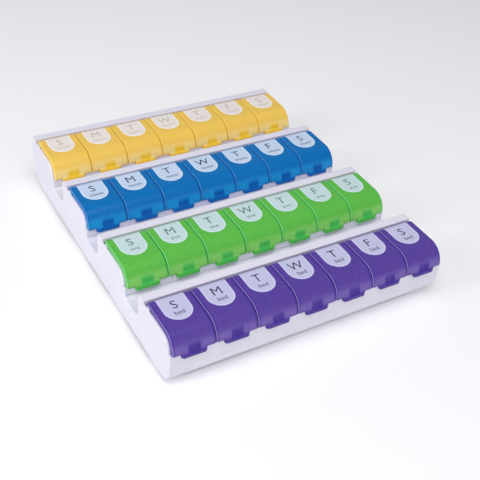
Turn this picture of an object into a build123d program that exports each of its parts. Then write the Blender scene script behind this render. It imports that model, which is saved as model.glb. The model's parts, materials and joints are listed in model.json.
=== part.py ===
"""Weekly pill organizer: four rows of seven compartments, each under its own hinged lid.

Millimetres. +X runs along the week from Sunday to Saturday, -Y is the front (bedtime row),
+Z is up. The origin is on the table, under the middle of the box that holds the object.
"""
import os
from math import cos, radians, sin

from build123d import *

# ---- layout -----------------------------------------------------------------------------
DAY_NAMES = ["sun", "mon", "tue", "wed", "thu", "fri", "sat"]
ROW_NAMES = ["bed", "eve", "noon", "morn"]     # front row first
lid_pitch = 30.0            # from one lid to the next along a row
row_pitch = 67.0            # from one row to the next
lid_top = 42.4              # crown of the lids above the table
lid_depth = 39.2            # back edge of a lid to its front face
lid_lower_edge = 29.0       # height of the lid's front lower edge
lid_gap = 0.4               # air between neighbouring lids
lid_skin = 1.5
cheek_depth = 3.0           # how far a lid's side edge hangs below its crown
lid_side_round = 0.7

# ---- finger lip and catch on each lid -----------------------------------------------------
lip_width = 17.8
lip_bottom = 26.2
lip_proud = 1.4             # the lip stands in front of the lid's face
lip_corner = 2.2
lip_blend = 1.4             # height of the slope from the lip up to the lid's face
catch_width = 8.6
catch_height = 6.5
catch_gap = 0.4             # air between the catch and the rim that it closes over

# ---- hinge ----------------------------------------------------------------------------------
hinge_radius = 4.2          # outside of the lid's rolled back edge, about the hinge axis
roll_end_angle = 10.0       # where the rolled edge ends, up from level, behind the axis
ear_roll_angle = 32.0       # the same beside an ear, so that an open lid clears the ear's stem
pin_radius = 1.0
pin_clearance = 0.05        # radial, pin in ear
pin_end_gap = 0.35          # from the tip of a pin to the line between two lids
ear_radius = 2.3
ear_half = 1.6              # half the thickness of an ear
stem_back = 0.5             # the ear's stem stands this far behind the hinge axis
ear_clearance = 0.4         # between an ear and the lid that turns about it
side_clearance = 0.4        # between an ear's face and the lid's lug
lug_thickness = 1.6
trough_gap = 0.5            # round the rolled edge, in the tray

# ---- white tray -----------------------------------------------------------------------------
wall = 1.7
end_wall = 1.6
end_wall_round = 1.2
partition = 1.8
seat_gap = 0.3              # between a lid's side edge and the rim below it
front_setback = 1.0         # the tray's front wall behind the lid's front face
shoulder_gap = 0.5          # under the lid's lower edge
ledge_depth = 8.0           # white ledge behind each row's hinge
ledge_drop = 0.7            # ledge below the lids' crown
ledge_round = 1.5
valley_floor = 21.0
valley_back_round = 8.0     # from a ledge's back wall into the valley
valley_front_round = 2.0    # from the valley up the next front wall
front_round = 11.6          # front bottom edge of the tray
back_round = 20.0           # back bottom edge of the tray

# ---- base plate -----------------------------------------------------------------------------
base_height = 3.0           # lifts the tray off the table
base_floor = 1.6
base_rim = 2.0
base_inset_side = 11.0
base_inset_front = 6.8
base_inset_back = 14.0
base_corner = 6.0
tongue_width = 14.0
tongue_thickness = 1.5
tongue_height = 6.0         # above the base's rim
tongue_gap = 0.1
tongue_spacing = 60.0

# ---- derived places -------------------------------------------------------------------------
lids_per_row = len(DAY_NAMES)
row_count = len(ROW_NAMES)
half_width = lid_pitch * lids_per_row / 2                  # inside faces of the two end walls
front_reach = lid_depth + lip_proud                        # frontmost face, from a row's back line
first_row_y = (front_reach - ledge_depth - (row_count - 1) * row_pitch) / 2
lid_half = (lid_pitch - lid_gap) / 2
nose_radius = lid_top - lid_lower_edge
nose_y = nose_radius - lid_depth                           # centre of the lid's rounded front
hinge_y = -hinge_radius
hinge_z = lid_top - hinge_radius
ear_bore = ear_radius + ear_clearance                      # space cleared in a lid round an ear
ear_reach = ear_half + side_clearance                      # from the line between lids to a lug
trough_radius = hinge_radius + trough_gap
rim_drop = cheek_depth + seat_gap                          # tray rim below the lid's crown
front_wall = lid_depth - front_setback
rim_front = nose_y - (nose_radius - rim_drop)              # upper front wall, under the lid's nose
shoulder = lid_lower_edge - shoulder_gap
ledge_top = lid_top - ledge_drop
cell_front = rim_front + wall
cell_front_low = wall - front_wall
cell_back = hinge_y - trough_radius - wall
cell_floor = base_height + wall
trough_bottom = hinge_z - trough_radius - wall
FAR = 400.0                                                # longer than anything here


def row_y(row):
    """Y of the lids' back edge in a row."""
    return first_row_y + row * row_pitch


def lid_x(day):
    """X of the middle of a lid."""
    return (day - (lids_per_row - 1) / 2) * lid_pitch


def block(y_low, y_high, z_low, z_high):
    """A rectangle in the side view, by its limits."""
    middle = Pos((y_low + y_high) / 2, (z_low + z_high) / 2)
    return middle * Rectangle(y_high - y_low, z_high - z_low)


def solid_between(side_view, x_low, x_high):
    """A side view drawn out along X."""
    return extrude(Plane.YZ.offset(x_low) * side_view, amount=x_high - x_low)


def under_lid(inward):
    """Side view of the space under a lid's outer skin moved inward, down to its lower edge."""
    top = lid_top - inward
    nose = Pos(nose_y, lid_lower_edge) * Circle(nose_radius - inward)
    middle = block(nose_y, hinge_y, lid_lower_edge, top)
    roll = Pos(hinge_y, hinge_z) * Circle(hinge_radius - inward)
    back = block(hinge_y, hinge_y + hinge_radius - inward, lid_lower_edge, hinge_z)
    below = block(-FAR, FAR, lid_lower_edge - FAR, lid_lower_edge)
    return (nose + middle + roll + back) - below


# ---- one lid --------------------------------------------------------------------------------
def lid_shell():
    """Flat top, quarter-round nose and rolled back edge, with short cheeks at the sides."""
    blank = solid_between(under_lid(0), -lid_half, lid_half)
    side_edges = []
    for edge in blank.edges():
        middle = edge @ 0.5
        on_side = abs(abs(middle.X) - lid_half) < 0.01
        across = abs((edge @ 0).X - (edge @ 1).X) > 0.01
        curved = edge.geom_type == GeomType.CIRCLE
        if on_side and not across and (curved or abs(middle.Z - lid_top) < 0.01):
            side_edges.append(edge)
    blank = fillet(side_edges, lid_side_round)
    blank -= solid_between(under_lid(cheek_depth), -lid_half, lid_half)
    blank -= solid_between(under_lid(lid_skin), lid_skin - lid_half, lid_half - lid_skin)
    roll_end = hinge_z + hinge_radius * sin(radians(roll_end_angle))
    return blank - solid_between(block(hinge_y, FAR, -FAR, roll_end), -lid_half, lid_half)


def ear_spaces():
    """What a lid leaves out at its two back corners, where it turns about the tray's ears."""
    ear_roll_end = hinge_z + hinge_radius * sin(radians(ear_roll_angle))
    side_view = Pos(hinge_y, hinge_z) * Circle(ear_bore) + block(hinge_y, FAR, -FAR, ear_roll_end)
    inner = lid_pitch / 2 - ear_reach
    return solid_between(side_view, inner, FAR) + solid_between(side_view, -FAR, -inner)


def lid_pivots():
    """Two lugs inside the lid, each with a short pin that sits in the tray's ear."""
    boss = Pos(hinge_y, hinge_z) * Circle(ear_radius)
    neck = block(hinge_y - ear_radius, hinge_y + pin_radius, hinge_z, lid_top - lid_skin / 2)
    lug_view = boss + neck
    outer = lid_pitch / 2 - ear_reach
    tip = lid_pitch / 2 - pin_end_gap
    pin_view = Pos(hinge_y, hinge_z) * Circle(pin_radius)
    pieces = solid_between(lug_view, outer - lug_thickness, outer)
    pieces += solid_between(lug_view, -outer, lug_thickness - outer)
    pieces += solid_between(pin_view, outer - lug_thickness, tip)
    pieces += solid_between(pin_view, -tip, lug_thickness - outer)
    return pieces


def finger_lip():
    """Lip that hangs below the lid's front edge, with rounded ends, to lift the lid by."""
    face = -lid_depth
    side_view = make_face(Polyline(
        (-front_wall - shoulder_gap / 2, lip_bottom),
        (face - lip_proud, lip_bottom),
        (face - lip_proud, lid_lower_edge - lip_blend / 2),
        (face, lid_lower_edge + lip_blend),
        (face + lid_skin, lid_lower_edge + lip_blend),
        (face + lid_skin, lid_lower_edge),
        (-front_wall - shoulder_gap / 2, lid_lower_edge),
        close=True,
    ))
    bar = solid_between(side_view, -lip_width / 2, lip_width / 2)
    plan_depth = 2 * (lip_proud + lid_skin + lip_corner)
    plan = RectangleRounded(lip_width, plan_depth, lip_corner)
    plan_middle = face - lip_proud + plan_depth / 2
    return bar & extrude(Pos(0, plan_middle, 0) * plan, amount=lid_top)


def catch_block():
    """Thickening behind the nose that closes over the tray's front rim."""
    side_view = block(-FAR, rim_front - catch_gap, lid_lower_edge, lid_lower_edge + catch_height)
    return solid_between(side_view & under_lid(lid_skin / 2), -catch_width / 2, catch_width / 2)


def one_lid():
    lid = lid_shell() - ear_spaces()
    return lid + lid_pivots() + finger_lip() + catch_block()


# ---- tray -----------------------------------------------------------------------------------
def row_outline(row):
    """Outside side view of one row of the tray, with the hinge trough and its ledge."""
    rim = under_lid(rim_drop) + block(rim_front, ledge_depth - wall, shoulder, lid_lower_edge)
    low = block(-front_wall, ledge_depth, base_height, shoulder)
    ledge = block(hinge_y, ledge_depth, shoulder, ledge_top)
    ledge_corner = ledge.vertices().group_by(Axis.Y)[-1].sort_by(Axis.Y).group_by(Axis.Y)[-1]
    upper = [v for v in ledge_corner if v.Y > ledge_top - 0.01]
    ledge = fillet(upper, ledge_round)
    outline = rim + low + ledge
    outline -= Pos(hinge_y, hinge_z) * Circle(trough_radius)
    outline -= block(hinge_y - trough_radius, hinge_y + trough_radius, hinge_z, FAR)
    if row == 0:
        outline -= corner_waste(-front_wall, 1, front_round)
    if row == row_count - 1:
        outline -= corner_waste(ledge_depth, -1, back_round)
    return outline


def corner_waste(y_edge, inward, radius):
    """What a rounded bottom edge leaves out of its square corner."""
    centre_y = y_edge + inward * radius
    square = block(min(y_edge, centre_y), max(y_edge, centre_y), base_height, base_height + radius)
    return square - Pos(centre_y, base_height + radius) * Circle(radius)


def cell_view():
    """Side view of one compartment: a scoop with a rounded front and back, open at the top."""
    scoop = front_round - wall
    lower = block(cell_front_low, cell_back, cell_floor, shoulder - wall)
    bottom = [v for v in lower.vertices() if v.Y < cell_floor + 0.01]
    lower = fillet(bottom, min(scoop, (cell_back - cell_front_low) / 3))
    neck = make_face(Polyline(
        (cell_front_low, shoulder - 2 * wall),
        (cell_front_low, shoulder - wall),
        (cell_front, shoulder + cell_front - cell_front_low - wall),
        (cell_front, FAR),
        (cell_back, FAR),
        (cell_back, shoulder - 2 * wall),
        close=True,
    ))
    return lower + neck


def under_view(row):
    """Side view of the hollow under a hinge trough and ledge, open at the bottom."""
    back_inside = ledge_depth - wall
    hollow = block(cell_back + wall, back_inside, -FAR, trough_bottom)
    hollow += block(hinge_y + trough_radius + wall, back_inside, -FAR, ledge_top - wall)
    if row == row_count - 1:
        centre_y = ledge_depth - back_round
        low = block(centre_y, FAR, -FAR, base_height + back_round)
        keep = Pos(centre_y, base_height + back_round) * Circle(back_round - wall)
        slot_end = ledge_depth - base_inset_back - wall / 2
        slot = block(cell_back + wall, slot_end, -FAR, base_height + back_round)
        hollow = (hollow - low) + (hollow & keep) + (hollow & slot)
    return hollow


def tray_row(row):
    """The long section of one row: front wall, floor, back wall, hinge trough and ledge."""
    section = row_outline(row) - cell_view() - under_view(row)
    return Pos(0, row_y(row), 0) * solid_between(section, -half_width, half_width)


def ear_view():
    """Side view of an ear on its stem in the trough, bored for the pins of the lids beside it."""
    boss = Pos(hinge_y, hinge_z) * Circle(ear_radius)
    stem = block(hinge_y - ear_radius, hinge_y + stem_back, trough_bottom, hinge_z)
    trough = Pos(hinge_y, hinge_z) * Circle(trough_radius)
    bore = Pos(hinge_y, hinge_z) * Circle(pin_radius + pin_clearance)
    return ((boss + stem) & trough) - bore


def tray_dividers(row):
    """The webs between a row's compartments and at its two ends, and the ears behind them."""
    web = row_outline(row) & cell_view()
    ear = ear_view()
    solids = []
    for seam in range(lids_per_row + 1):
        x = seam * lid_pitch - half_width
        for view, half in ((web, partition / 2), (ear, ear_half)):
            solids.append(solid_between(view, max(x - half, -half_width), min(x + half, half_width)))
    return Pos(0, row_y(row), 0) * Compound(solids)


def valley_view():
    """Side view of the floor between two rows, seen from the front row's back line."""
    y_back = row_pitch - front_wall
    floor = block(ledge_depth, y_back, valley_floor - wall, valley_floor)
    rise = block(ledge_depth, ledge_depth + valley_back_round,
                 valley_floor, valley_floor + valley_back_round)
    rise -= Pos(ledge_depth + valley_back_round, valley_floor + valley_back_round) * Circle(
        valley_back_round)
    step = block(y_back - valley_front_round, y_back,
                 valley_floor, valley_floor + valley_front_round)
    step -= Pos(y_back - valley_front_round, valley_floor + valley_front_round) * Circle(
        valley_front_round)
    return floor + rise + step


def end_wall_view():
    """Side view of an end wall: the rows' outlines and the ground under the valleys, no trough."""
    view = None
    for row in range(row_count):
        filled = row_outline(row) + block(
            hinge_y - trough_radius, hinge_y + trough_radius, shoulder, lid_top - rim_drop)
        if row < row_count - 1:
            filled += valley_view()
            filled += block(ledge_depth, row_pitch - front_wall, base_height, valley_floor)
        placed = Pos(row_y(row), 0) * filled
        view = placed if view is None else view + placed
    return view


def end_walls():
    """The two flat ends of the tray, rounded on their outer edges."""
    plate = solid_between(end_wall_view(), half_width, half_width + end_wall)
    outer_edges = plate.faces().sort_by(Axis.X)[-1].outer_wire().edges()
    right = fillet(outer_edges, end_wall_round)
    return mirror(right, Plane.YZ), right


# ---- base plate -----------------------------------------------------------------------------
def base_plate():
    """Shallow pan inset under the tray, with tongues that stand in the hollows between rows."""
    half_x = half_width + end_wall - base_inset_side
    y_front = row_y(0) - front_wall + base_inset_front
    y_back = row_y(row_count - 1) + ledge_depth - base_inset_back
    middle = Pos(0, (y_front + y_back) / 2, 0)
    outside = RectangleRounded(2 * half_x, y_back - y_front, base_corner)
    inside = RectangleRounded(
        2 * (half_x - base_rim), y_back - y_front - 2 * base_rim, base_corner - base_rim)
    pan = extrude(middle * outside, amount=base_height)
    pan -= Pos(0, 0, base_floor) * extrude(middle * inside, amount=base_height)
    for row in range(row_count - 1):
        y_low = row_y(row) + cell_back + wall + tongue_gap
        for side in (-1, 1):
            x = side * tongue_spacing
            pan += solid_between(
                block(y_low, y_low + tongue_thickness, base_floor / 2, base_height + tongue_height),
                x - tongue_width / 2, x + tongue_width / 2)
    return pan


# ---- write every node -----------------------------------------------------------------------
os.makedirs("parts", exist_ok=True)
lid = one_lid()
for row, row_name in enumerate(ROW_NAMES):
    for day, day_name in enumerate(DAY_NAMES):
        placed_lid = Pos(lid_x(day), row_y(row), 0) * lid
        export_step(placed_lid, f"parts/lid_{row_name}_{day_name}.step")
    export_step(tray_row(row), f"parts/tray_row_{row_name}.step")
    export_step(tray_dividers(row), f"parts/tray_dividers_{row_name}.step")
for row in range(row_count - 1):
    strip = solid_between(valley_view(), -half_width, half_width)
    name = f"parts/tray_valley_{ROW_NAMES[row]}_{ROW_NAMES[row + 1]}.step"
    export_step(Pos(0, row_y(row), 0) * strip, name)
left_wall, right_wall = end_walls()
export_step(left_wall, "parts/tray_end_wall_left.step")
export_step(right_wall, "parts/tray_end_wall_right.step")
export_step(base_plate(), "parts/base_plate.step")
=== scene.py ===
"""Looks of a weekly pill organizer: white moulded tray, 28 tinted snap lids, film labels.

Metres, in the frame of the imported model: +X runs Sunday to Saturday, -Y is the front
(bedtime row), +Z is up and the object stands on z = 0.
"""

import json
from math import cos, pi, radians, sin, sqrt

import bmesh
import bpy
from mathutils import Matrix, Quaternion, Vector


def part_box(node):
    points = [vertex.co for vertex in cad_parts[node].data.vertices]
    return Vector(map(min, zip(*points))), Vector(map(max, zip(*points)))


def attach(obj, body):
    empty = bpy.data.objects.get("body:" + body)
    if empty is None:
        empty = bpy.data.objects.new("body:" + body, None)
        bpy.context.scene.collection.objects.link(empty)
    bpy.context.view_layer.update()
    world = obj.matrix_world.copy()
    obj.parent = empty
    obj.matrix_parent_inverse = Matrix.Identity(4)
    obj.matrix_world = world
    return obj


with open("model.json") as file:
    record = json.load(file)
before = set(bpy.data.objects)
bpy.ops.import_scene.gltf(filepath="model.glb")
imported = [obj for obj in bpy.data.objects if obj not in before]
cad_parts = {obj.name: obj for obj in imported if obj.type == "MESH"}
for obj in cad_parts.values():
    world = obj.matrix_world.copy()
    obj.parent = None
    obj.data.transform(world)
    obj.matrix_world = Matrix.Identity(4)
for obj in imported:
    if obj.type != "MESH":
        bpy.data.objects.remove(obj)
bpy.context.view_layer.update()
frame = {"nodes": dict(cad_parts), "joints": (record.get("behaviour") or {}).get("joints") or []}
MM = 0.001

# ---- camera ---------------------------------------------------------------------------------
# A fairly long lens about 0.6 m away, looking down over the front left corner and tipped a
# little, so that the week runs up to the right and all four rows show their lids.
aim_point = Vector((-5.5, -32.2, 20.0)) * MM
camera_distance = 607.5 * MM
azimuth = radians(-33.437)
elevation = radians(38.58)
roll = radians(6.02)
lens_mm = 62.56
sensor_mm = 36.0

towards_camera = Vector((sin(azimuth) * cos(elevation), -cos(azimuth) * cos(elevation), sin(elevation)))
camera_data = bpy.data.cameras.new("camera")
camera_data.lens = lens_mm
camera_data.sensor_width = sensor_mm
camera = bpy.data.objects.new("camera", camera_data)
camera.location = aim_point + towards_camera * camera_distance
camera.rotation_mode = "QUATERNION"
camera.rotation_quaternion = towards_camera.to_track_quat("Z", "Y") @ Quaternion((0, 0, 1), roll)
bpy.context.scene.collection.objects.link(camera)
bpy.context.scene.camera = camera

# ---- base plate -----------------------------------------------------------------------------
# The white foot under the tray, a shallow moulding whose tongues push up into the tray's hollow.
# It is the same satin polypropylene, a shade greyer, with the fine grain of a blasted mould.
polypropylene_ior = 1.49
white_grain = 0.45 * MM
white_grain_depth = 0.02 * MM
white_edge_round = 0.35 * MM
shade_share = 0.3                           # how much of the shade colour shows on average
shade_swing = 0.9                           # how far the slow unevenness moves that share
white_rub = 0.07                            # how much smoother a rubbed spot is
slow_scale = 38.0                           # repeats per metre of the cloudy unevenness
rub_scale = 210.0                           # repeats per metre of the rubbed spots
rub_start = 0.42                            # noise value at which a spot begins to look rubbed
rub_full = 0.68


def new_material(name):
    """A material with a Principled shader, and its node tree."""
    material = bpy.data.materials.new(name)
    material.use_nodes = True
    tree = material.node_tree
    tree.nodes.clear()
    output = tree.nodes.new("ShaderNodeOutputMaterial")
    shader = tree.nodes.new("ShaderNodeBsdfPrincipled")
    tree.links.new(shader.outputs["BSDF"], output.inputs["Surface"])
    return material, tree, shader


def wire(tree, kind, settings=None, **inputs):
    """A node with its properties set and its inputs given as plain values or as sockets.

    An input is given by its name, or as i0, i1 and so on by its place.
    """
    node = tree.nodes.new(kind)
    for key, value in (settings or {}).items():
        setattr(node, key, value)
    for key, value in inputs.items():
        by_place = key[0] == "i" and key[1:].isdigit()
        socket = node.inputs[int(key[1:]) if by_place else key]
        if isinstance(value, bpy.types.NodeSocket):
            tree.links.new(value, socket)
        else:
            socket.default_value = value
    return node


def maths(tree, operation, first, second=0.0):
    """The output of one Math node."""
    return wire(tree, "ShaderNodeMath", {"operation": operation}, i0=first, i1=second).outputs[0]


def scale_and_shift(tree, value, scale, shift):
    """The value times scale, plus shift."""
    node = wire(tree, "ShaderNodeMath", {"operation": "MULTIPLY_ADD"}, i0=value, i1=scale, i2=shift)
    return node.outputs[0]


def between(tree, value, none_at, full_at):
    """0 at none_at and 1 at full_at, whichever is higher, with a soft step between them."""
    node = wire(tree, "ShaderNodeMapRange", {"interpolation_type": "SMOOTHSTEP", "clamp": True},
                Value=value)
    node.inputs["From Min"].default_value = none_at
    node.inputs["From Max"].default_value = full_at
    return node.outputs["Result"]


def mix_colour(tree, share, under, over):
    """The under colour turning into the over colour as share goes from 0 to 1."""
    mix = wire(tree, "ShaderNodeMix", {"data_type": "RGBA"}, i0=share, i6=under, i7=over)
    return mix.outputs[2]


def new_group(name, inputs, outputs):
    """A shader node group with named sockets; inputs are (name, kind, default)."""
    group = bpy.data.node_groups.new(name, "ShaderNodeTree")
    for socket_name, kind, default in inputs:
        socket = group.interface.new_socket(socket_name, in_out="INPUT", socket_type=kind)
        socket.default_value = default
    for socket_name, kind in outputs:
        group.interface.new_socket(socket_name, in_out="OUTPUT", socket_type=kind)
    return group, group.nodes.new("NodeGroupInput"), group.nodes.new("NodeGroupOutput")


def place_group(tree, group, **values):
    """The group as a node of a material; underscores in names stand for spaces."""
    node = tree.nodes.new("ShaderNodeGroup")
    node.node_tree = group
    for key, value in values.items():
        node.inputs[key.replace("_", " ")].default_value = value
    return node


# Moulded grain: the mould's blasted texture, the slow unevenness of a cooled skin, rubbed spots.
moulded_grain, grain_in, grain_out = new_group(
    "moulded_grain",
    [("Grain Size", "NodeSocketFloat", 0.5 * MM), ("Unevenness", "NodeSocketFloat", 1.0)],
    [("Height", "NodeSocketFloat"), ("Mottle", "NodeSocketFloat"), ("Polish", "NodeSocketFloat")])
where = moulded_grain.nodes.new("ShaderNodeTexCoord").outputs["Object"]
grain_scale = maths(moulded_grain, "DIVIDE", 1.0, grain_in.outputs["Grain Size"])
fine = wire(moulded_grain, "ShaderNodeTexNoise", Vector=where, Scale=grain_scale, Detail=3.0, Roughness=0.6)
slow = wire(moulded_grain, "ShaderNodeTexNoise", Vector=where, Scale=slow_scale, Detail=2.0, Roughness=0.5)
cloud = maths(moulded_grain, "SUBTRACT", slow.outputs["Fac"], 0.5)
mottle = maths(moulded_grain, "MULTIPLY", cloud, grain_in.outputs["Unevenness"])
rub = wire(moulded_grain, "ShaderNodeTexNoise", Vector=where, Scale=rub_scale, Detail=4.0, Roughness=0.65)
polish = between(moulded_grain, rub.outputs["Fac"], rub_start, rub_full)
moulded_grain.links.new(fine.outputs["Fac"], grain_out.inputs["Height"])
moulded_grain.links.new(mottle, grain_out.inputs["Mottle"])
moulded_grain.links.new(polish, grain_out.inputs["Polish"])


def emboss(tree, shader, grain, strength, depth, edge_round=0.0):
    """Bumps the shader with the grain, over edges softened by edge_round where it is given."""
    bump = wire(tree, "ShaderNodeBump", Height=grain.outputs["Height"], Strength=strength, Distance=depth)
    if edge_round:
        edge = wire(tree, "ShaderNodeBevel", {"samples": 4}, Radius=edge_round)
        tree.links.new(edge.outputs["Normal"], bump.inputs["Normal"])
    tree.links.new(bump.outputs["Normal"], shader.inputs["Normal"])


def white_plastic(name, colour, shade, roughness):
    """Satin white polypropylene that drifts a little towards its shade colour."""
    material, tree, shader = new_material(name)
    grain = place_group(tree, moulded_grain, Grain_Size=white_grain, Unevenness=1.0)
    drift = scale_and_shift(tree, grain.outputs["Mottle"], shade_swing, shade_share)
    tree.links.new(mix_colour(tree, drift, colour, shade), shader.inputs["Base Color"])
    gloss = scale_and_shift(tree, grain.outputs["Polish"], -white_rub, roughness)
    tree.links.new(gloss, shader.inputs["Roughness"])
    emboss(tree, shader, grain, strength=0.16, depth=white_grain_depth, edge_round=white_edge_round)
    shader.inputs["Subsurface Weight"].default_value = 0.12
    shader.inputs["Subsurface Scale"].default_value = 1.2 * MM
    shader.inputs["IOR"].default_value = polypropylene_ior
    return material


def dress(node, material):
    """Gives a CAD node its material."""
    slots = frame["nodes"][node].data.materials
    slots.clear()
    slots.append(material)


base_white = white_plastic("base_white", colour=(0.74, 0.73, 0.80, 1), shade=(0.66, 0.65, 0.73, 1),
                           roughness=0.50)
dress("base_plate", base_white)

# ---- tray -------------------------------------------------------------------------------------
# One white moulding: four rows of seven open boxes, the finger valleys between the rows, and
# the two end walls, all satin polypropylene with a faint lavender cast.
tray_white = white_plastic("tray_white", colour=(0.81, 0.790, 0.885, 1), shade=(0.75, 0.730, 0.84, 1),
                           roughness=0.40)
for node in frame["nodes"]:
    if node.startswith("tray_"):
        dress(node, tray_white)

# ---- lids -------------------------------------------------------------------------------------
# Twenty-eight thin tinted polypropylene lids, one colour for each time of day. Each hinges on
# two moulded pins under its rolled back edge and closes over the front rim with its catch.
ROWS = ["bed", "eve", "noon", "morn"]
DAYS = ["sun", "mon", "tue", "wed", "thu", "fri", "sat"]
lid_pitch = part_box("lid_bed_mon")[0].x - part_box("lid_bed_sun")[0].x
lid_lower_edge = 29.0 * MM                  # heights below are measured from this edge of the lid
catch_half = 4.3 * MM
catch_foot = -0.2 * MM
catch_top = 6.6 * MM
catch_blur = 0.8 * MM
rim_height = 7.0 * MM                       # height over which the white rim lies close behind
rim_foot_blur = 1.5 * MM
rim_none_above = rim_height + 2.0 * MM
rim_full_below = rim_height - 3.0 * MM
front_none_at = -9.0 * MM                   # measured forward from the lid's middle: catch and rim
front_full_at = -5.0 * MM                   # show only in front of these, so not at the back edge
seam_shade_inner = 2.1 * MM                       # from the seam: where the painted shade on the side cheek begins
seam_shade_outer = 1.6 * MM
highlight_inner = 0.85 * MM                  # from the seam on the Sunday side of a lid: bounds of the painted highlight
highlight_outer = 0.55 * MM
cheek_facing = 0.9                          # sideways part of the normal on a cheek, and off it
crown_facing = 0.6
lip_none_at = 0.3 * MM
lip_full_at = -0.6 * MM
lid_grain = 0.35 * MM
lid_grain_depth = 0.015 * MM
lid_edge_round = 0.3 * MM
lid_roughness = 0.30
lid_rub = 0.05
deep_share = 0.25                           # how much deep tint shows on average, before halving
deep_strength = 0.5


def from_lid_middle(tree, x):
    """Distance along a row from the middle of the lid that is there, negative towards Sunday."""
    cell = maths(tree, "ADD", maths(tree, "DIVIDE", x, lid_pitch), 0.5)
    cell = maths(tree, "SUBTRACT", maths(tree, "FRACT", cell), 0.5)
    return maths(tree, "MULTIPLY", cell, lid_pitch)


# What shows through a lid or along it: the catch and the lip deeper, the white rim behind the
# nose milky, painted shade on the side cheeks at the seams, and a painted highlight at the Sunday edge.
lid_zones, zones_in, zones_out = new_group(
    "lid_zones",
    [("Lid Middle", "NodeSocketFloat", 0.0)],
    [("Catch", "NodeSocketFloat"), ("Rim", "NodeSocketFloat"), ("Side", "NodeSocketFloat"),
     ("Lip", "NodeSocketFloat"), ("Painted Highlight", "NodeSocketFloat")])
place = wire(lid_zones, "ShaderNodeSeparateXYZ",
             Vector=lid_zones.nodes.new("ShaderNodeTexCoord").outputs["Object"])
across = from_lid_middle(lid_zones, place.outputs["X"])
off_middle = maths(lid_zones, "ABSOLUTE", across)
height = maths(lid_zones, "SUBTRACT", place.outputs["Z"], lid_lower_edge)
forward = maths(lid_zones, "SUBTRACT", zones_in.outputs["Lid Middle"], place.outputs["Y"])
front_part = between(lid_zones, forward, front_none_at, front_full_at)

catch_width = between(lid_zones, off_middle, catch_half + catch_blur, catch_half - catch_blur)
catch_low = between(lid_zones, height, catch_foot - catch_blur, catch_foot + catch_blur)
catch_high = between(lid_zones, height, catch_top + catch_blur, catch_top - 4 * catch_blur)
catch_band = maths(lid_zones, "MULTIPLY", catch_low, catch_high)
catch = maths(lid_zones, "MULTIPLY", catch_width, catch_band)
catch = maths(lid_zones, "MULTIPLY", catch, front_part)

rim_low = between(lid_zones, height, 0.0, rim_foot_blur)
rim_high = between(lid_zones, height, rim_none_above, rim_full_below)
rim = maths(lid_zones, "MULTIPLY", maths(lid_zones, "MULTIPLY", rim_low, rim_high), front_part)

# Painted shade: a darker band within about two millimetres of each seam between lids.
seam_shade = between(lid_zones, off_middle, lid_pitch / 2 - seam_shade_inner, lid_pitch / 2 - seam_shade_outer)
# Painted highlight: a paler line along the seam on each lid's Sunday side, kept off the side cheek.
edge_highlight = between(lid_zones, across, highlight_inner - lid_pitch / 2, highlight_outer - lid_pitch / 2)
facing = wire(lid_zones, "ShaderNodeSeparateXYZ",
              Vector=lid_zones.nodes.new("ShaderNodeNewGeometry").outputs["Normal"])
sideways_facing = maths(lid_zones, "ABSOLUTE", facing.outputs["X"])
off_cheek = between(lid_zones, sideways_facing, cheek_facing, crown_facing)
edge_highlight = maths(lid_zones, "MULTIPLY", edge_highlight, off_cheek)
lip = between(lid_zones, height, lip_none_at, lip_full_at)
for socket_name, value in (("Catch", catch), ("Rim", rim), ("Side", seam_shade), ("Lip", lip),
                           ("Painted Highlight", edge_highlight)):
    lid_zones.links.new(value, zones_out.inputs[socket_name])


def tinted_lid(name, row, colour, deep_tint_and_shade, milky, highlight_tint):
    """Tinted lid plastic: deeper where thick, milky where backed by white, with painted shade along the
    seams and a painted highlight at its cut edge.
    """
    material, tree, shader = new_material(name)
    low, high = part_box("lid_%s_sun" % row)
    zones = place_group(tree, lid_zones, Lid_Middle=(low.y + high.y) / 2)
    grain = place_group(tree, moulded_grain, Grain_Size=lid_grain, Unevenness=0.5)
    tone = maths(tree, "ADD", grain.outputs["Mottle"], deep_share)
    surface = mix_colour(tree, maths(tree, "MULTIPLY", tone, deep_strength), colour, deep_tint_and_shade)
    # The seam zone mixes in painted shade and the edge zone a painted highlight; the catch, lip and rim
    # zones are the plastic's own tint.
    for zone, amount, over in (("Rim", 0.8, milky), ("Catch", 0.9, deep_tint_and_shade), ("Lip", 0.5, deep_tint_and_shade),
                               ("Side", 0.45, deep_tint_and_shade), ("Painted Highlight", 0.65, highlight_tint)):
        share = maths(tree, "MULTIPLY", zones.outputs[zone], amount)
        surface = mix_colour(tree, share, surface, over)
    tree.links.new(surface, shader.inputs["Base Color"])
    gloss = scale_and_shift(tree, grain.outputs["Polish"], -lid_rub, lid_roughness)
    tree.links.new(gloss, shader.inputs["Roughness"])
    emboss(tree, shader, grain, strength=0.10, depth=lid_grain_depth, edge_round=lid_edge_round)
    shader.inputs["Subsurface Weight"].default_value = 0.15
    shader.inputs["Subsurface Scale"].default_value = 1.0 * MM
    shader.inputs["IOR"].default_value = polypropylene_ior
    shader.inputs["Specular IOR Level"].default_value = 0.20
    return material


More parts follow.
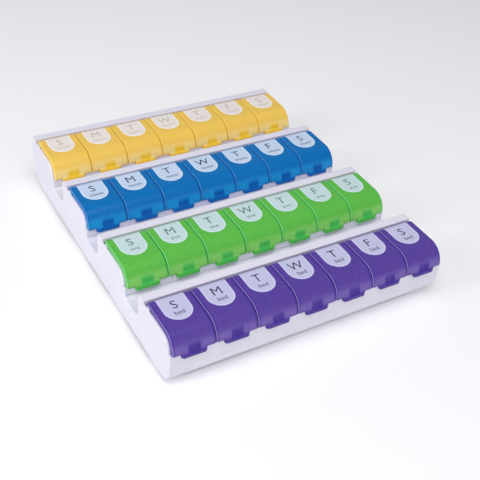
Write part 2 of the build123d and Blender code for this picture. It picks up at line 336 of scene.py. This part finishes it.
# For each row: the material's name, then its colour, deep tint (also the painted seam shade), milky tint and
# painted edge highlight.
lid_colours = {
    "bed": ("lid_purple", (0.110, 0.060, 0.340, 1), (0.050, 0.022, 0.290, 1), (0.200, 0.130, 0.460, 1),
            (0.480, 0.400, 0.780, 1)),
    "eve": ("lid_green", (0.130, 0.510, 0.065, 1), (0.045, 0.520, 0.095, 1), (0.290, 0.700, 0.170, 1),
            (0.420, 0.880, 0.400, 1)),
    "noon": ("lid_blue", (0.000, 0.175, 0.490, 1), (0.000, 0.105, 0.440, 1), (0.015, 0.350, 0.740, 1),
             (0.150, 0.480, 0.880, 1)),
    "morn": ("lid_yellow", (0.880, 0.585, 0.125, 1), (0.960, 0.610, 0.020, 1), (1.000, 0.780, 0.330, 1),
             (0.980, 0.800, 0.420, 1)),
}
for row in ROWS:
    name, colour, deep_tint_and_shade, milky, highlight_tint = lid_colours[row]
    lid_plastic = tinted_lid(name, row, colour, deep_tint_and_shade, milky, highlight_tint)
    for day in DAYS:
        dress("lid_%s_%s" % (row, day), lid_plastic)

# ---- labels -----------------------------------------------------------------------------------
# A pale U-shaped film on each lid, turned down over the rolled back edge, printed with the
# weekday's initial and the time of day in a plain face. It stands about a tenth of a millimetre
# proud of the lid.
label_half = 9.65 * MM
label_back_gap = 1.0 * MM
label_straight = 13.5 * MM
front_steps = 32                            # straight pieces round the label's front
roll_steps = 9                              # strips in which the film goes over the rolled edge
film = 0.12 * MM
sink = 0.03 * MM                            # how far the film's underside lies in the lid
rim_inner = 1.0 * MM                        # from the outline: where the paler cut edge begins
rim_outer = 0.7 * MM
rim_lift = 1.18                             # how much paler the cut edge is
rim_share = 0.7
film_grain = 0.8 * MM
film_grain_depth = 0.01 * MM
film_tooth = 0.9                            # how strongly the film's tooth shows in its colour
film_roughness = 0.52
film_rub = 0.08
initial_size = 10.2 * MM
initial_shift = -0.5 * MM
initial_base = -13.7 * MM                   # foot of the initial, from the lid's back edge
word_size = 5.0 * MM
word_base = -19.3 * MM
ink_thickness = 0.05 * MM
ink_sink = 0.02 * MM                        # how far the print's foot lies in the film
ink_grain = 0.5 * MM
ink_thin_share = 0.35
worn_share = 0.3                            # how much film colour shows through thin ink
INK_SLOT = 1
hinges = {joint["name"]: Vector(joint["pos_m"]) for joint in frame["joints"]}


def label_outline():
    """Corner points of the film seen from above, about the lid's middle and its back edge."""
    front_centre = -label_back_gap - label_straight
    points = [(label_half, -label_back_gap), (-label_half, -label_back_gap)]
    for step in range(front_steps + 1):
        turn = pi + pi * step / front_steps
        points.append((label_half * cos(turn), front_centre + label_half * sin(turn)))
    return points


# The film's cut edge, a paler band about a millimetre wide along its sides and round front.
film_rim, rim_in, rim_out = new_group(
    "film_rim", [("Row Back", "NodeSocketFloat", 0.0)], [("Rim", "NodeSocketFloat")])
spot = wire(film_rim, "ShaderNodeSeparateXYZ",
            Vector=film_rim.nodes.new("ShaderNodeTexCoord").outputs["Object"])
sideways = from_lid_middle(film_rim, spot.outputs["X"])
behind_spot = maths(film_rim, "SUBTRACT", rim_in.outputs["Row Back"], spot.outputs["Y"])
past_straight = maths(film_rim, "SUBTRACT", behind_spot, label_back_gap + label_straight)
ahead = maths(film_rim, "MAXIMUM", past_straight, 0.0)
sideways_square = maths(film_rim, "POWER", sideways, 2.0)
ahead_square = maths(film_rim, "POWER", ahead, 2.0)
from_centre = maths(film_rim, "SQRT", maths(film_rim, "ADD", sideways_square, ahead_square))
film_rim.links.new(between(film_rim, from_centre, label_half - rim_inner, label_half - rim_outer),
                   rim_out.inputs["Rim"])


def film_material(name, row, colour, shade, rim_colour):
    """Pale printed film with paper-like tooth and a paler cut edge."""
    material, tree, shader = new_material(name)
    rim = place_group(tree, film_rim, Row_Back=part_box("lid_%s_sun" % row)[1].y)
    grain = place_group(tree, moulded_grain, Grain_Size=film_grain, Unevenness=0.8)
    tooth = maths(tree, "MULTIPLY", grain.outputs["Height"], film_tooth)
    body = mix_colour(tree, tooth, colour, shade)
    edged = mix_colour(tree, maths(tree, "MULTIPLY", rim.outputs["Rim"], rim_share), body, rim_colour)
    tree.links.new(edged, shader.inputs["Base Color"])
    gloss = scale_and_shift(tree, grain.outputs["Polish"], -film_rub, film_roughness)
    tree.links.new(gloss, shader.inputs["Roughness"])
    emboss(tree, shader, grain, strength=0.10, depth=film_grain_depth)
    return material


def ink_material(name, colour, worn):
    """Printing ink, a little thin in places."""
    material, tree, shader = new_material(name)
    grain = place_group(tree, moulded_grain, Grain_Size=ink_grain, Unevenness=1.0)
    thin = maths(tree, "MULTIPLY", grain.outputs["Polish"], ink_thin_share)
    tree.links.new(mix_colour(tree, thin, colour, worn), shader.inputs["Base Color"])
    shader.inputs["Roughness"].default_value = 0.55
    return material


def add_lettering(into, text, face_size, centre_x, base_y, z):
    """Adds raised lettering of one face size to a mesh, centred on centre_x and standing on base_y."""
    curve = bpy.data.curves.new("lettering", "FONT")
    curve.body = text
    curve.align_x = "CENTER"
    curve.size = 1.0
    curve.resolution_u = 4
    holder = bpy.data.objects.new("lettering", curve)
    bpy.context.scene.collection.objects.link(holder)
    bpy.context.view_layer.update()
    flat = bpy.data.meshes.new_from_object(holder.evaluated_get(bpy.context.evaluated_depsgraph_get()))
    bpy.data.objects.remove(holder)
    middle = (max(v.co.x for v in flat.vertices) + min(v.co.x for v in flat.vertices)) / 2
    for vertex in flat.vertices:
        x = centre_x + (vertex.co.x - middle) * face_size
        vertex.co = (x, base_y + vertex.co.y * face_size, z)
    first = len(into.faces)
    into.from_mesh(flat)
    into.faces.ensure_lookup_table()
    raised = bmesh.ops.extrude_face_region(into, geom=into.faces[first:])
    lifted = [part for part in raised["geom"] if isinstance(part, bmesh.types.BMVert)]
    bmesh.ops.translate(into, verts=lifted, vec=(0, 0, ink_thickness))
    into.faces.ensure_lookup_table()
    for face in into.faces[first:]:
        face.material_index = INK_SLOT
    bpy.data.meshes.remove(flat)


def make_label(row, day, materials):
    """The film and its print on one lid."""
    low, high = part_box("lid_%s_%s" % (row, day))
    hinge = hinges["hinge_%s_%s" % (row, day)]
    middle_x = (low.x + high.x) / 2
    back_y = high.y
    roll_radius = high.z - hinge.z
    mesh = bmesh.new()
    corners = [mesh.verts.new((middle_x + x, back_y + y, 0.0)) for x, y in label_outline()]
    mesh.faces.new(corners)
    for step in range(roll_steps):
        cut_y = hinge.y + (back_y - label_back_gap - hinge.y) * step / roll_steps
        geometry = list(mesh.verts) + list(mesh.edges) + list(mesh.faces)
        bmesh.ops.bisect_plane(mesh, geom=geometry, plane_co=(0, cut_y, 0), plane_no=(0, 1, 0))
    raised = bmesh.ops.extrude_face_region(mesh, geom=list(mesh.faces))
    upper = {part for part in raised["geom"] if isinstance(part, bmesh.types.BMVert)}
    for vertex in mesh.verts:
        radius = roll_radius + (film if vertex in upper else -sink)
        behind = max(0.0, vertex.co.y - hinge.y)
        vertex.co.z = hinge.z + sqrt(radius * radius - behind * behind)
    bmesh.ops.recalc_face_normals(mesh, faces=list(mesh.faces))
    print_z = high.z + film - ink_sink
    initial = day[0].upper()
    add_lettering(mesh, initial, initial_size, middle_x + initial_shift, back_y + initial_base, print_z)
    add_lettering(mesh, row, word_size, middle_x, back_y + word_base, print_z)
    data = bpy.data.meshes.new("label_%s_%s" % (row, day))
    mesh.to_mesh(data)
    mesh.free()
    for material in materials:
        data.materials.append(material)
    label = bpy.data.objects.new("label_%s_%s" % (row, day), data)
    bpy.context.scene.collection.objects.link(label)
    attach(label, "lid_%s_%s" % (row, day))


# For each row: the film's colour, its shade and the ink.
label_colours = {
    "bed": ((0.600, 0.605, 0.820, 1), (0.520, 0.520, 0.740, 1), (0.020, 0.015, 0.090, 1)),
    "eve": ((0.620, 0.770, 0.800, 1), (0.540, 0.700, 0.710, 1), (0.090, 0.200, 0.140, 1)),
    "noon": ((0.620, 0.740, 0.920, 1), (0.540, 0.660, 0.870, 1), (0.015, 0.035, 0.120, 1)),
    "morn": ((0.900, 0.850, 0.830, 1), (0.860, 0.770, 0.700, 1), (0.560, 0.500, 0.380, 1)),
}
for row in ROWS:
    pale, shade, ink = label_colours[row]
    rim_colour = tuple(min(1.0, rim_lift * part) for part in pale)
    worn_ink = tuple((1 - worn_share) * a + worn_share * b for a, b in zip(ink, pale))
    film_finish = film_material("film_" + row, row, pale, shade, rim_colour)
    ink_finish = ink_material("ink_" + row, ink, worn_ink)
    for day in DAYS:
        make_label(row, day, [film_finish, ink_finish])

# ---- table and light --------------------------------------------------------------------------
# A plain pale floor that gives off a little light of its own, and three soft lights: a tall one
# at the left, a broad one overhead and a weak one at the front, with an even sky.
floor_half = 4.0
floor_material, floor_tree, floor_shader = new_material("pale_floor")
floor_noise = wire(floor_tree, "ShaderNodeTexNoise", Scale=6.0, Detail=2.0)
floor_tint = mix_colour(floor_tree, floor_noise.outputs["Fac"], (0.93, 0.93, 0.94, 1), (0.95, 0.95, 0.95, 1))
floor_tree.links.new(floor_tint, floor_shader.inputs["Base Color"])
floor_shader.inputs["Roughness"].default_value = 0.9
floor_shader.inputs["Emission Color"].default_value = (1.0, 1.0, 1.0, 1)
floor_shader.inputs["Emission Strength"].default_value = 0.07

floor_mesh = bmesh.new()
bmesh.ops.create_grid(floor_mesh, x_segments=2, y_segments=2, size=floor_half)
floor_data = bpy.data.meshes.new("floor")
floor_mesh.to_mesh(floor_data)
floor_mesh.free()
floor_data.materials.append(floor_material)
floor = bpy.data.objects.new("floor", floor_data)
bpy.context.scene.collection.objects.link(floor)


def soft_light(name, place, size, power):
    """A rectangular area light that faces the middle of the object's foot."""
    data = bpy.data.lights.new(name, "AREA")
    data.shape = "RECTANGLE"
    data.size, data.size_y = size
    data.energy = power
    light = bpy.data.objects.new(name, data)
    light.location = place
    light.rotation_mode = "QUATERNION"
    light.rotation_quaternion = Vector(place).to_track_quat("Z", "Y")
    bpy.context.scene.collection.objects.link(light)


soft_light("left_light", place=(-1.15, -0.05, 0.55), size=(0.35, 0.9), power=4.6)
soft_light("top_light", place=(-0.25, -0.45, 1.25), size=(1.0, 1.0), power=9.6)
soft_light("front_light", place=(0.35, -1.3, 0.7), size=(0.9, 0.6), power=1.3)

sky = bpy.data.worlds.new("sky")
sky.use_nodes = True
sky.node_tree.nodes["Background"].inputs["Color"].default_value = (0.93, 0.94, 1.0, 1)
sky.node_tree.nodes["Background"].inputs["Strength"].default_value = 0.38
bpy.context.scene.world = sky
bpy.context.scene.view_settings.view_transform = "Standard"

# ---- final update -----------------------------------------------------------------------------
bpy.context.view_layer.update()
